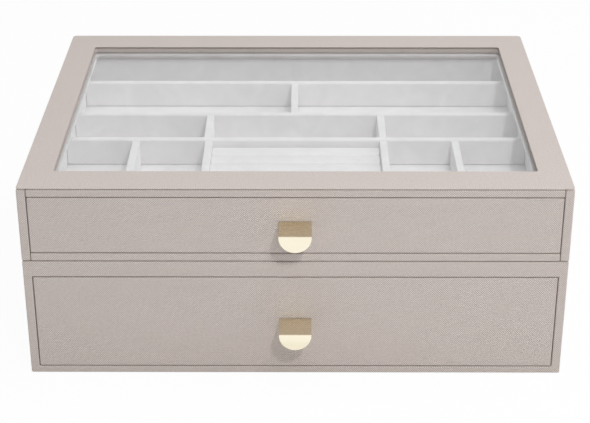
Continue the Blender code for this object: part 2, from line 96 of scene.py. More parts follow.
def makeLights():
    for name in ("key", "overhead", "side", "card"):
        values = light[name]
        data = bpy.data.lights.new(name, "AREA")
        data.shape, data.size, data.size_y = "RECTANGLE", *values["size"]
        data.energy, data.color = values["watts"], linearColour(values["colour"])[:3]
        lamp = bpy.data.objects.new(name, data)
        bpy.context.scene.collection.objects.link(lamp)
        lamp.location = values["place"]
        if name == "card":
            lamp.rotation_euler.x = math.pi  # a reflector that lies in front of the box and faces up
        else:
            aim = Vector(light["target"]) - Vector(values["place"])
            lamp.rotation_euler = aim.to_track_quat("-Z", "Y").to_euler()
        lamp.visible_camera = False


def whiteShare(tree):
    # 1 for rays that should see plain white: from the camera, or mirrored or passed on by metal and glass
    path = addNode(tree, "LightPath").outputs
    seen = addNode(tree, "Math", {"operation": "ADD"}, {0: path["Is Camera Ray"], 1: path["Is Glossy Ray"]})
    seen = addNode(tree, "Math", {"operation": "ADD"}, {0: seen.outputs[0], 1: path["Is Transmission Ray"]})
    return addNode(tree, "Clamp", {}, {"Value": seen.outputs[0]}).outputs[0]


def makeRoom():
    world = bpy.data.worlds.new("room")
    bpy.context.scene.world = world
    world.use_nodes = True
    tree = world.node_tree
    tree.nodes.clear()
    soft = addNode(tree, "Background", {}, {"Color": (1, 1, 1, 1), "Strength": light["fill"]})
    white = addNode(tree, "Background", {}, {"Color": (1, 1, 1, 1), "Strength": 1.0})
    inputs = {0: whiteShare(tree), 1: soft.outputs[0], 2: white.outputs[0]}
    both = addNode(tree, "MixShader", {}, inputs)
    addNode(tree, "OutputWorld", {}, {"Surface": both.outputs[0]})

    tree, surface = startMaterial("painted floor")
    paint = addNode(tree, "BsdfDiffuse", {}, {"Color": linearColour(light["floor"])})
    glow = addNode(tree, "Emission", {}, {"Color": (1, 1, 1, 1), "Strength": 1.0})
    share = addNode(tree, "Math", {"operation": "MULTIPLY"}, {0: whiteShare(tree), 1: light["floorGlow"]})
    inputs = {0: share.outputs[0], 1: paint.outputs[0], 2: glow.outputs[0]}
    tree.links.new(addNode(tree, "MixShader", {}, inputs).outputs[0], surface)
    half, drop = light["floorHalf"], light["floorDrop"]
    corners = [(-half, -half, -drop), (half, -half, -drop), (half, half, -drop), (-half, half, -drop)]
    mesh = bpy.data.meshes.new("floor")
    mesh.from_pydata(corners, [], [(0, 1, 2, 3)])
    mesh.materials.append(bpy.data.materials["painted floor"])
    floor = bpy.data.objects.new("floor", mesh)
    bpy.context.scene.collection.objects.link(floor)


# Materials

def linearColour(hexText):
    # an sRGB hex colour as linear light, with alpha 1
    channels = [int(hexText[i:i + 2], 16) / 255 for i in (1, 3, 5)]
    return [c / 12.92 if c <= 0.04045 else ((c + 0.055) / 1.055) ** 2.4 for c in channels] + [1.0]


def addNode(tree, kind, settings=None, inputs=None):
    # adds one shader node; an input is a value, or a socket to link from
    node = tree.nodes.new("ShaderNode" + kind)
    for name, value in (settings or {}).items():
        setattr(node, name, value)
    for name, value in (inputs or {}).items():
        if isinstance(value, bpy.types.NodeSocket):
            tree.links.new(value, node.inputs[name])
        else:
            node.inputs[name].default_value = value
    return node


def startMaterial(name):
    material = bpy.data.materials.new(name)
    material.use_nodes = True
    tree = material.node_tree
    tree.nodes.clear()
    return tree, addNode(tree, "OutputMaterial").inputs["Surface"]


leatherette = {
    # the ridge and valley colours are a painted highlight on the embossed ridges and painted shade in the
    # valleys
    "ridgeHighlight": "#E6DCD6",
    "valleyShade": "#AFA49E",
    "pitch": 0.00112,  # between the embossed ridges; the real ones are a little finer
    "waver": 1.6,  # how far the ridges wander off a straight line
    "waverScale": 0.22,
    "pebble": 0.0016,  # size of the grain over the ridges
    "pebbleShare": 0.9,
    "levels": (0.9, 2.0),  # heights that take wholly the painted valley shade and wholly the painted ridge highlight
    "relief": 0.00014,
    "bump": 1.0,
    "rough": (0.66, 0.50),  # in the deepest valleys, and elsewhere
    "ior": 1.46,
    "cloud": 0.0450,  # size of the faint patches in the colour
    "cloudTint": "#C6BAB3",
    "cloudShare": 0.35,
}


def makeLeatherette():
    # Polyurethane leatherette, embossed by a roller with two sets of fine diagonal ridges. Light from above
    # catches the ridges, so a lit front looks faintly woven while a top seen at a slant looks smooth. The
    # colour also paints this in, with a painted highlight on the ridges and painted shade in the valleys.
    tree, surface = startMaterial("embossed leatherette")
    unrolled = addNode(tree, "UVMap", {"uv_map": "covering"}).outputs["UV"]
    ridges = []
    for turn in (45, -45):
        turned = addNode(tree, "Mapping", {}, {"Vector": unrolled, "Rotation": (0, 0, math.radians(turn))})
        inputs = {  # a wave of scale 1 repeats every pi / 10
            "Vector": turned.outputs[0], "Scale": math.pi / 10 / leatherette["pitch"],
            "Distortion": leatherette["waver"], "Detail": 1.0, "Detail Scale": leatherette["waverScale"],
        }
        ridges.append(addNode(tree, "TexWave", {}, inputs).outputs["Fac"])
    hatch = addNode(tree, "Math", {"operation": "ADD"}, {0: ridges[0], 1: ridges[1]})
    pebble = addNode(tree, "TexNoise", {}, {
        "Vector": unrolled, "Scale": 1 / leatherette["pebble"], "Detail": 2.0, "Roughness": 0.6,
    })
    height = addNode(tree, "Math", {"operation": "MULTIPLY_ADD"}, {
        0: pebble.outputs["Fac"], 1: leatherette["pebbleShare"], 2: hatch.outputs[0],
    })
    valleyShade, ridgeHighlight = leatherette["levels"]
    share = addNode(tree, "MapRange", {}, {
        "Value": height.outputs[0], "From Min": valleyShade, "From Max": ridgeHighlight,
    })
    # painted highlight on the ridges and painted shade in the valleys, set by the embossing's height
    mixed = addNode(tree, "Mix", {"data_type": "RGBA"}, {
        0: share.outputs[0], 6: linearColour(leatherette["valleyShade"]), 7: linearColour(leatherette["ridgeHighlight"]),
    })
    cloud = addNode(tree, "TexNoise", {}, {
        "Vector": unrolled, "Scale": 1 / leatherette["cloud"], "Detail": 3.0,
    })
    cloudShare = addNode(tree, "Math", {"operation": "MULTIPLY"}, {
        0: cloud.outputs["Fac"], 1: leatherette["cloudShare"],
    })
    colour = addNode(tree, "Mix", {"data_type": "RGBA"}, {
        0: cloudShare.outputs[0], 6: mixed.outputs[2], 7: linearColour(leatherette["cloudTint"]),
    })
    dull, smooth = leatherette["rough"]
    rough = addNode(tree, "MapRange", {}, {"Value": height.outputs[0], "To Min": dull, "To Max": smooth})
    bump = addNode(tree, "Bump", {}, {
        "Height": height.outputs[0], "Strength": leatherette["bump"], "Distance": leatherette["relief"],
    })
    shader = addNode(tree, "BsdfPrincipled", {}, {
        "Base Color": colour.outputs[2], "Roughness": rough.outputs[0], "IOR": leatherette["ior"],
        "Normal": bump.outputs[0],
    })
    tree.links.new(shader.outputs[0], surface)


velvet = {
    # lit and shaded are painted light and painted shade of the nap, mixed in patches
    "lit": "#E8E5E5",
    "shaded": "#DBD8D8",
    "pile": 0.00035,  # the fibres are much finer; this is as coarse as it takes to show
    "nap": 0.0180,  # size of the brushed patches
    "napShare": 1.4,
    "levels": (0.8, 1.6),  # sums of pile and nap that look wholly shaded and wholly lit
    "relief": 0.00012,
    "bump": 0.35,
    "rough": 0.95,
    "ior": 1.5,
    "gloss": 0.2,
    "sheen": 0.30,
    "sheenRough": 0.40,
}


def makeVelvet():
    # Flocked velvet on card: short upright fibres, so it is matt head on and paler at a slant. Where a
    # finger has brushed the nap one way, the light it catches is painted into the colour, as painted light
    # and painted shade in patches.
    tree, surface = startMaterial("flocked velvet")
    place = addNode(tree, "TexCoord").outputs["Object"]
    pile = addNode(tree, "TexNoise", {}, {
        "Vector": place, "Scale": 1 / velvet["pile"], "Detail": 2.0, "Roughness": 0.7,
    })
    nap = addNode(tree, "TexNoise", {}, {
        "Vector": place, "Scale": 1 / velvet["nap"], "Detail": 2.0, "Distortion": 0.8,
    })
    both = addNode(tree, "Math", {"operation": "MULTIPLY_ADD"}, {
        0: nap.outputs["Fac"], 1: velvet["napShare"], 2: pile.outputs["Fac"],
    })
    shaded, lit = velvet["levels"]
    share = addNode(tree, "MapRange", {}, {"Value": both.outputs[0], "From Min": shaded, "From Max": lit})
    colour = addNode(tree, "Mix", {"data_type": "RGBA"}, {
        0: share.outputs[0], 6: linearColour(velvet["shaded"]), 7: linearColour(velvet["lit"]),
    })
    bump = addNode(tree, "Bump", {}, {
        "Height": pile.outputs["Fac"], "Strength": velvet["bump"], "Distance": velvet["relief"],
    })
    shader = addNode(tree, "BsdfPrincipled", {}, {
        "Base Color": colour.outputs[2], "Roughness": velvet["rough"], "IOR": velvet["ior"],
        "Normal": bump.outputs[0], "Specular IOR Level": velvet["gloss"],
        "Sheen Weight": velvet["sheen"], "Sheen Roughness": velvet["sheenRough"],
    })
    tree.links.new(shader.outputs[0], surface)


brass = {
    "colour": "#F6EDD6",
    "worn": "#F2E8CF",
    "edge": "#8E6A22",  # its colour at a slant
    "rough": (0.06, 0.17),  # where it is clean, and under a fingerprint
    "smudge": 0.0090,
    "lines": 0.0003,  # width of the polishing lines, a little coarser than the real ones
    "lineLength": 12,  # times as long as they are wide
}


def makeBrass():
    # Polished and lacquered brass sheet: a warm mirror, with faint lines from the polishing wheel across it
    # and fingerprints that dull it a little in places.
    tree, surface = startMaterial("polished brass")
    place = addNode(tree, "TexCoord").outputs["Object"]
    smudge = addNode(tree, "TexNoise", {}, {"Vector": place, "Scale": 1 / brass["smudge"], "Detail": 3.0})
    drawn = addNode(tree, "Mapping", {}, {"Vector": place, "Scale": (1 / brass["lineLength"], 1.0, 1.0)})
    lines = addNode(tree, "TexNoise", {}, {"Vector": drawn.outputs[0], "Scale": 1 / brass["lines"]})
    worn = addNode(tree, "Mix", {"data_type": "RGBA"}, {
        0: smudge.outputs["Fac"], 6: linearColour(brass["colour"]), 7: linearColour(brass["worn"]),
    })
    both = addNode(tree, "Math", {"operation": "MULTIPLY"}, {
        0: smudge.outputs["Fac"], 1: lines.outputs["Fac"],
    })
    clean, dull = brass["rough"]
    rough = addNode(tree, "MapRange", {}, {"Value": both.outputs[0], "To Min": clean, "To Max": dull})
    shader = addNode(tree, "BsdfPrincipled", {}, {
        "Base Color": worn.outputs[2], "Metallic": 1.0, "Roughness": rough.outputs[0],
        "Specular Tint": linearColour(brass["edge"]),
    })
    tree.links.new(shader.outputs[0], surface)


glass = {
    "colour": "#FEFFFF",
    "through": "#FAFBFB",  # what is left of a lamp's light behind it
    "ior": 1.52,
}


def makeGlass():
    # Clear float glass with ground edges: it mirrors the bright room faintly and lifts what lies under it.
    # Light from the lamps passes straight through, so the tray isn't in the dark.
    tree, surface = startMaterial("float glass")
    shader = addNode(tree, "BsdfPrincipled", {}, {
        "Base Color": linearColour(glass["colour"]), "Roughness": 0.0, "IOR": glass["ior"],
        "Transmission Weight": 1.0,
    })
    clear = addNode(tree, "BsdfTransparent", {}, {"Color": linearColour(glass["through"])})
    path = addNode(tree, "LightPath").outputs
    passing = addNode(tree, "Math", {"operation": "MAXIMUM"}, {
        0: path["Is Shadow Ray"], 1: path["Is Diffuse Ray"],
    })
    both = addNode(tree, "MixShader", {}, {
        0: passing.outputs[0], 1: shader.outputs[0], 2: clear.outputs[0],
    })
    tree.links.new(both.outputs[0], surface)


paper = {
    "pale": "#CFCBC8",
    "dark": "#BFBAB6",
    "fibre": 0.0006,  # width of the fibres, drawn as coarse as it takes to show
    "lengthways": 0.35,  # the fibres' width over their length
    "levels": (0.3, 0.7),
    "relief": 0.00003,
    "rough": 0.85,
    "ior": 1.45,
}


def makePaper():
    # Uncoated lining paper glued over fibreboard: dull, with short fibres and a slight mottle.
    tree, surface = startMaterial("lining paper")
    place = addNode(tree, "TexCoord").outputs["Object"]
    drawn = addNode(tree, "Mapping", {}, {"Vector": place, "Scale": (paper["lengthways"], 1.0, 1.0)})
    fibre = addNode(tree, "TexNoise", {}, {
        "Vector": drawn.outputs[0], "Scale": 1 / paper["fibre"], "Detail": 4.0, "Distortion": 1.5,
    })
    dark, pale = paper["levels"]
    share = addNode(tree, "MapRange", {}, {
        "Value": fibre.outputs["Fac"], "From Min": dark, "From Max": pale,
    })
    colour = addNode(tree, "Mix", {"data_type": "RGBA"}, {
        0: share.outputs[0], 6: linearColour(paper["dark"]), 7: linearColour(paper["pale"]),
    })
    bump = addNode(tree, "Bump", {}, {"Height": fibre.outputs["Fac"], "Distance": paper["relief"]})
    shader = addNode(tree, "BsdfPrincipled", {}, {
        "Base Color": colour.outputs[2], "Roughness": paper["rough"], "IOR": paper["ior"],
        "Normal": bump.outputs[0],
    })
    tree.links.new(shader.outputs[0], surface)


felt = {
    "pale": "#97908B",
    "dark": "#7C756F",
    "fibre": 0.0009,
    "relief": 0.0002,
    "rough": 1.0,
    "ior": 1.45,
    "sheen": 0.2,
}


def makeFelt():
    # Pressed wool felt: matted fibres with no direction, very dull.
    tree, surface = startMaterial("pressed felt")
    place = addNode(tree, "TexCoord").outputs["Object"]
    fibre = addNode(tree, "TexNoise", {}, {
        "Vector": place, "Scale": 1 / felt["fibre"], "Detail": 5.0, "Roughness": 0.7, "Distortion": 3.0,
    })
    colour = addNode(tree, "Mix", {"data_type": "RGBA"}, {
        0: fibre.outputs["Fac"], 6: linearColour(felt["dark"]), 7: linearColour(felt["pale"]),
    })
    bump = addNode(tree, "Bump", {}, {"Height": fibre.outputs["Fac"], "Distance": felt["relief"]})
    shader = addNode(tree, "BsdfPrincipled", {}, {
        "Base Color": colour.outputs[2], "Roughness": felt["rough"], "IOR": felt["ior"],
        "Normal": bump.outputs[0], "Sheen Weight": felt["sheen"],
    })
    tree.links.new(shader.outputs[0], surface)


zinc = {
    "pale": "#C9CCD1",
    "dark": "#A9ADB4",
    "grain": 0.0012,
    "rough": (0.22, 0.42),
}


def makeZinc():
    # Bright zinc plating on a turned steel screw: a soft mirror with a faint bluish mottle.
    tree, surface = startMaterial("zinc plating")
    place = addNode(tree, "TexCoord").outputs["Object"]
    grain = addNode(tree, "TexNoise", {}, {"Vector": place, "Scale": 1 / zinc["grain"], "Detail": 3.0})
    colour = addNode(tree, "Mix", {"data_type": "RGBA"}, {
        0: grain.outputs["Fac"], 6: linearColour(zinc["dark"]), 7: linearColour(zinc["pale"]),
    })
    bright, dull = zinc["rough"]
    rough = addNode(tree, "MapRange", {}, {"Value": grain.outputs["Fac"], "To Min": bright, "To Max": dull})
    shader = addNode(tree, "BsdfPrincipled", {}, {
        "Base Color": colour.outputs[2], "Metallic": 1.0, "Roughness": rough.outputs[0],
    })
    tree.links.new(shader.outputs[0], surface)


# Meshes from arrays

def gridQuads(rows, columns, closeRows=False, closeColumns=False):
    # quads between neighbouring points of a grid, which may join up with itself either way
    index = np.arange(rows * columns).reshape(rows, columns)
    if closeRows:
        index = np.concatenate([index, index[:1]], axis=0)
    if closeColumns:
        index = np.concatenate([index, index[:, :1]], axis=1)
    corners = (index[:-1, :-1], index[1:, :-1], index[1:, 1:], index[:-1, 1:])
    return np.stack([c.ravel() for c in corners], axis=1)


def weld(points, quads):
    # Points that meet, to 7 decimals of a metre, become one. A quad with a lost side becomes a triangle,
    # and one with no area goes.
    _, first, index = np.unique(np.round(points, 7), axis=0, return_index=True, return_inverse=True)
    points, quads = points[first], index.reshape(-1)[quads]
    whole = np.ones(len(quads), bool)
    triangles = []
    for side in range(4):
        lost = (quads[:, side] == quads[:, (side + 1) % 4]) & whole
        triangle = quads[lost][:, [(side + 1) % 4, (side + 2) % 4, (side + 3) % 4]]
        same = (triangle == np.roll(triangle, 1, axis=1)).any(axis=1)
        triangles.append(triangle[~same])
        whole &= ~lost
    return points, quads[whole], np.concatenate(triangles)


def putPiece(name, points, quads, material, standsFor, crease=50):
    # A closed mesh as an object that stands for CAD nodes. The sum over its faces of the centre times the
    # area vector has the sign of its volume, and a negative one means that it is inside out. The map
    # "covering" holds metres: each face is seen along the axis that it faces most. Edges sharper than the
    # crease, in degrees, stay sharp, and weighted normals keep the flats flat beside their rounded edges.
    points, quads, triangles = weld(np.asarray(points, float), quads)
    faces = [*quads.tolist(), *triangles.tolist()]
    corners = [points[f] for f in (quads, triangles)]
    areas = [
        np.cross(c[:, 2] - c[:, 0], c[:, -1] - c[:, 1]) if len(c) else np.zeros((0, 3)) for c in corners
    ]
    volume = sum((area * c.mean(axis=1)).sum() for area, c in zip(areas, corners))
    if volume < 0:
        faces = [f[::-1] for f in faces]
    mesh = bpy.data.meshes.new(name)
    mesh.from_pydata(points.tolist(), [], faces)
    mesh.materials.append(bpy.data.materials[material])
    mesh.shade_smooth()
    mesh.set_sharp_from_angle(angle=math.radians(crease))
    count = np.array([len(f) for f in faces])
    facing = np.abs(np.concatenate(areas)).argmax(axis=1).repeat(count)
    loops = points[np.concatenate([np.array(f) for f in faces])]
    unrolled = np.stack([
        np.where(facing == 0, loops[:, 1], loops[:, 0]),
        np.where(facing == 2, loops[:, 1], loops[:, 2]),
    ], axis=1)
    mesh.uv_layers.new(name="covering").data.foreach_set("uv", unrolled.astype(np.float32).ravel())
    piece = bpy.data.objects.new(name, mesh)
    bpy.context.scene.collection.objects.link(piece)
    piece.modifiers.new("weighted normals", "WEIGHTED_NORMAL").keep_sharp = True
    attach(piece, bodyOf[standsFor[0]])
    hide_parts(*standsFor)
    return piece


def roundedBlock(low, high, radius, span, arcSteps=4):
    # A block with rounded edges. Each point q of a grid on the six sides of the plain block has its nearest
    # point c of the block drawn in by the radius, and moves to c + radius * (q - c) / |q - c|. The grid is
    # spaced so that the arcs are even, and by about the span between them.
    low, high = np.array(low, float), np.array(high, float)
    radius = min(radius, (high - low).min() / 2 * 0.999)  # a thin block keeps a sliver of flat side
    arc = radius * (1 - np.tan(np.linspace(math.pi / 4, 0, arcSteps + 1)))[:-1]
    lines = []
    for axis in range(3):
        near, far = low[axis] + radius, high[axis] - radius
        middle = np.linspace(near, far, max(1, round((far - near) / span)) + 1)
        lines.append(np.concatenate([low[axis] + arc, middle, (high[axis] - arc)[::-1]]))
    points, quads, start = [], [], 0
    for axis in range(3):
        first, second = (k for k in range(3) if k != axis)
        a, b = np.meshgrid(lines[first], lines[second], indexing="ij")
        for side, place in enumerate((low[axis], high[axis])):
            q = np.empty((a.size, 3))
            q[:, first], q[:, second], q[:, axis] = a.ravel(), b.ravel(), place
            faces = gridQuads(*a.shape) + start
            points.append(q)
            quads.append(faces[:, ::-1] if side == (axis != 1) else faces)
            start += a.size
    q = np.concatenate(points)
    core = np.clip(q, low + radius, high - radius)
    away = q - core
    return core + radius * away / np.linalg.norm(away, axis=1, keepdims=True), np.concatenate(quads)


def outline(low, high, corner, runs, arcSteps=5):
    # Once round a rounded rectangle: each corner is an arc about a centre drawn in by its radius, and each
    # side between two arcs is cut into equal runs, as many as are given for the width and for the height.
    turn = np.linspace(0, math.pi / 2, arcSteps + 1)
    centres = [
        (high[0] - corner, high[1] - corner), (low[0] + corner, high[1] - corner),
        (low[0] + corner, low[1] + corner), (high[0] - corner, low[1] + corner),
    ]
    arcs = []
    for number, centre in enumerate(centres):
        angle = turn + number * math.pi / 2
        arcs.append(np.array(centre) + corner * np.stack([np.cos(angle), np.sin(angle)], axis=1))
    pieces = []
    for number in range(4):
        start, end = arcs[number][-1], arcs[(number + 1) % 4][0]
        share = np.linspace(0, 1, runs[number % 2] + 1)[1:-1, None]
        pieces += [arcs[number], start + share * (end - start)]
    return np.concatenate(pieces)


def sleeve(stations, upAxis, runs):
    # A ring with a hole through it: a rounded outline is carried through stations, each with its own low
    # and high corner, corner radius and place along the axis, and the last one joins the first. A corner
    # keeps at least the least radius, so that its points stay apart.
    least = 0.00005
    rings = []
    for low, high, corner, place in stations:
        flat = outline(low, high, max(corner, least), runs)
        columns = [flat[:, 0], flat[:, 1]]
        columns.insert(upAxis, np.full(len(flat), place))
        rings.append(np.stack(columns, axis=1))
    points = np.concatenate(rings)
    return points, gridQuads(len(stations), len(rings[0]), True, True)


def quarter(steps=4):
    # 1 - cos and 1 - sin along a quarter turn. The first rises from 0 to 1 and the second falls from 1 to
    # 0, as the distances from a corner to its rounded edge do.
    turn = np.linspace(0, math.pi / 2, steps + 1)
    return np.stack([1 - np.cos(turn), 1 - np.sin(turn)], axis=1)


# Wrapped boards

boards = {
    "embossed leatherette": {
        "radius": 0.0009,  # of the edges that the covering is wrapped round
        "span": 0.010,  # between the mesh's points on the flats
        "nodes": (
            "upper_left_side", "upper_right_side", "upper_back_board",
            "upper_top_rail", "upper_bottom_rail",
            "upper_drawer_front", "lower_drawer_front", "lower_back_board",
        ),
    },
    "lining paper": {
        "radius": 0.0007,
        "span": 0.020,
        "nodes": (
            "upper_bottom_board",
            "upper_drawer_left_wall", "upper_drawer_right_wall", "upper_drawer_back_wall",
            "upper_drawer_bottom",
            "lower_drawer_left_wall", "lower_drawer_right_wall", "lower_drawer_back_wall",
            "lower_drawer_bottom",
        ),
    },
    "flocked velvet": {
        "radius": 0.0007,
        "span": 0.010,
        "nodes": (
            "upper_drawer_left_liner", "upper_drawer_right_liner", "upper_drawer_front_liner",
            "upper_drawer_back_liner", "lower_drawer_left_liner", "lower_drawer_right_liner",
            "lower_drawer_front_liner", "lower_drawer_back_liner", "ring_roll_base",
        ),
    },
}


covering = {
    "side": 0.00010, "rise": 0.00030,  # how far the covering stands off a drawer's front, at its edges
    "lift": 0.00020,  # between the upper module's covering and the lower module
}


def makeBoards():
    for material, values in boards.items():
        for node in values["nodes"]:
            low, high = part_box(node)
            if node.endswith("drawer_front"):
                off = Vector((covering["side"], 0, covering["rise"]))
                low, high = low - off, high + off
            elif node in ("upper_bottom_rail", "upper_left_side", "upper_right_side"):
                low.z += covering["lift"]
            points, quads = roundedBlock(low, high, values["radius"], values["span"])
            putPiece(f"{node}_finished", points, quads, material, [node])


shell = {
    "sides": 0.0060, "bottom": 0.0048, "top": 0.0060,  # thickness of the boards
    "rail": 0.0118, "railDepth": 0.0064,  # the rail over the drawer's mouth
    "foot": 0.0005,  # how far the turned-in covering reaches down past the boards, round the felt
    "corner": 0.0010,  # of the four edges that run from front to back
    "leastCorner": 0.0002,  # what is left of it where the outline is drawn in
    "edge": 0.0010,  # of the edges round the front and the back
    "mouthEdge": 0.0010, "mouthCorner": 0.0006,
    "step": 0.0003,  # length of the slope behind the rail
    "runs": (28, 8),
}


def makeLowerShell():
    # Stations run from the back along the outside, round the front edge, across the front, into the mouth,
    # past the rail and back along the inside.
    low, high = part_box("lower_case_shell")
    low.z -= shell["foot"]
    bottom = shell["bottom"] + shell["foot"]
    mouth = np.array([shell["sides"], bottom, shell["sides"], shell["rail"]])
    cavity = np.array([shell["sides"], bottom, shell["sides"], shell["top"]])
    edge, lip, allRound = shell["edge"], shell["mouthEdge"], np.ones(4)
    railBack = low.y + shell["railDepth"]
    rising, falling = quarter().T

    inset = [0 * allRound, *(edge * a * allRound for a in rising)]  # the outside and the front edge
    place = [high.y - edge, *(low.y + edge * falling)]
    inset += [mouth - lip * b for b in falling]  # into the mouth
    place += [*(low.y + lip * rising)]
    inset += [mouth, cavity, cavity]  # past the rail and back
    place += [railBack, railBack + shell["step"], high.y - lip]
    inset += [cavity - lip * a for a in rising]  # round the inner and the outer back edge
    place += [*(high.y - lip * falling)]
    inset += [edge * b * allRound for b in falling]
    place += [*(high.y - edge * rising)]
    stations = []
    for drawn, y in zip(inset, place):
        outerCorner = max(shell["corner"] - drawn.min(), shell["leastCorner"])
        corner = shell["mouthCorner"] if drawn.min() > edge else outerCorner
        near, far = (low.x + drawn[0], low.z + drawn[1]), (high.x - drawn[2], high.z - drawn[3])
        stations.append((near, far, corner, y))
    points, quads = sleeve(stations, 1, shell["runs"])
    putPiece("lower_shell_wrapped", points, quads, "embossed leatherette", ["lower_case_shell"])


topFrame = {
    "rim": 0.0006, "rimEdge": 0.0004,  # the edge that shows over the boards: its height and its rounding
    "sideInset": 0.0063, "frontInset": 0.0067,  # to the thicker middle that drops between the boards
    "side": 0.0210, "front": 0.0276, "back": 0.0269,  # width of the frame round its window
    "lip": 0.0004, "lipEdge": 0.00025,  # the thin edge of covering at the window
    "sill": 0.00025,  # how far the covering reaches down to the pane at the window
    "grooveDepth": 0.0015, "grooveHeight": 0.0012,  # the shadow line under the lip
    "corner": 0.0028, "windowCorner": 0.0020, "leastCorner": 0.0003,
    "runs": (40, 30),
}


def makeTopFrame():
    # Stations run up the rim, across the top, over the thin lip, into the groove, down the reveal and out
    # again under the frame.
    low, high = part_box("top_frame")
    window = np.array([topFrame["side"], topFrame["front"], topFrame["side"], topFrame["back"]])
    groove = window - topFrame["grooveDepth"]
    boardsInset = np.array([topFrame["sideInset"], topFrame["frontInset"]] * 2)
    edge, lipEdge, allRound = topFrame["rimEdge"], topFrame["lipEdge"], np.ones(4)
    lipUnder = high.z - topFrame["lip"]
    grooveUnder = lipUnder - topFrame["grooveHeight"]
    rimUnder = high.z - topFrame["rim"]
    sill = low.z - topFrame["sill"]
    rising, falling = quarter().T

    inset = [edge * b * allRound for b in falling] + [edge * a * allRound for a in rising]  # round the rim
    place = [*(rimUnder + edge * rising), *(high.z - edge * falling)]
    inset += [window - lipEdge * b for b in falling]  # over the lip
    place += [*(high.z - lipEdge * rising)]
    inset += [window, groove, groove, window]  # through the groove
    place += [lipUnder, lipUnder, grooveUnder, grooveUnder]
    inset += [window, window - lipEdge, boardsInset, boardsInset]  # to the pane, and out under the frame
    place += [sill + lipEdge, sill, low.z, rimUnder]
    stations = []
    for drawn, z in zip(inset, place):
        inside = drawn.min() > 2 * topFrame["frontInset"]  # at the window
        outerCorner = max(topFrame["corner"] - drawn.min(), topFrame["leastCorner"])
        corner = topFrame["windowCorner"] + (window - drawn).min() if inside else outerCorner
        near, far = (low.x + drawn[0], low.y + drawn[1]), (high.x - drawn[2], high.y - drawn[3])
        stations.append((near, far, corner, z))
    points, quads = sleeve(stations, 2, topFrame["runs"])
    putPiece("top_frame_wrapped", points, quads, "embossed leatherette", ["top_frame"])


pane = {
    "edge": 0.0003,  # of the ground edges
    "span": 0.05,
    "crease": 10,  # degrees; it keeps the faces flat, so that the glass doesn't bend what shows through it
}

retainer = {
    "round": 0.0004, "under": 0.0002,  # its upper and lower edge at the window
    "windowCorner": 0.0024,
    "shows": 0.0016, "showsBehind": 0.0030,  # how far it reaches into the frame's window
    "hangs": 0.0004,  # how far its velvet hangs below the card
    "runs": (40, 30),
}


def makeGlazing():
    # The pane is a block with ground edges. The retainer is a card ring in velvet, rounded at its window.
    low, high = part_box("glass_pane")
    points, quads = roundedBlock(low, high, pane["edge"], pane["span"], arcSteps=2)
    putPiece("window_pane", points, quads, "float glass", ["glass_pane"], pane["crease"])

    low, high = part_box("glass_retainer")
    frameLow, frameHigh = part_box("top_frame")
    shows = Vector((retainer["shows"], retainer["shows"], 0))
    near = Vector((frameLow.x + topFrame["side"], frameLow.y + topFrame["front"], 0)) + shows
    shows.y = retainer["showsBehind"]
    far = Vector((frameHigh.x - topFrame["side"], frameHigh.y - topFrame["back"], 0)) - shows
    low.z -= retainer["hangs"]
    soft, under = retainer["round"], retainer["under"]
    rising, falling = quarter().T
    drawn = [*(soft * falling), *(under * rising)]  # out to the window's outline, and back again
    place = [*(high.z - soft * rising), *(low.z + under * falling)]
    stations = []
    for back, z in zip(drawn, place):
        inLow, inHigh = (near.x - back, near.y - back), (far.x + back, far.y + back)
        stations.append((inLow, inHigh, retainer["windowCorner"], z))
    card = (high.z - low.z) / 4  # the card's outer edge is cut slanting by this, above and below
    for inwards, z in ((card, low.z), (0, low.z + card), (0, high.z - card), (card, high.z)):
        outLow, outHigh = (low.x + inwards, low.y + inwards), (high.x - inwards, high.y - inwards)
        stations.append((outLow, outHigh, retainer["windowCorner"], z))
    points, quads = sleeve(stations, 2, retainer["runs"])
    putPiece("pane_retainer", points, quads, "flocked velvet", ["glass_retainer"])


# Velvet tray

divider = {
    # the top's rounding, how much lower than the board the top is, and the rounding at the ends
    "long": {"round": 0.0019, "drop": 0.0006, "end": 0.0005},
    "cross": {"round": 0.0005, "drop": 0.0013, "end": 0.0012},
    "bottomRound": 0.0004,
    "spacing": 0.0045,
    "wave": 0.00006,  # depth of the waves in the top
    "waves": (310, 97), "waveShift": (900, 500),  # radians a metre, along a board and from board to board
    "aside": {  # the cross dividers are glued in by hand, and a few stand a little to one side
        "upper_tray_row_2_far_left_divider": -0.0013,
        "upper_tray_row_2_far_right_divider": 0.0005,
        "upper_tray_row_3_left_divider": -0.0011,
        "upper_tray_row_4_middle_divider": -0.0014,
    },
}


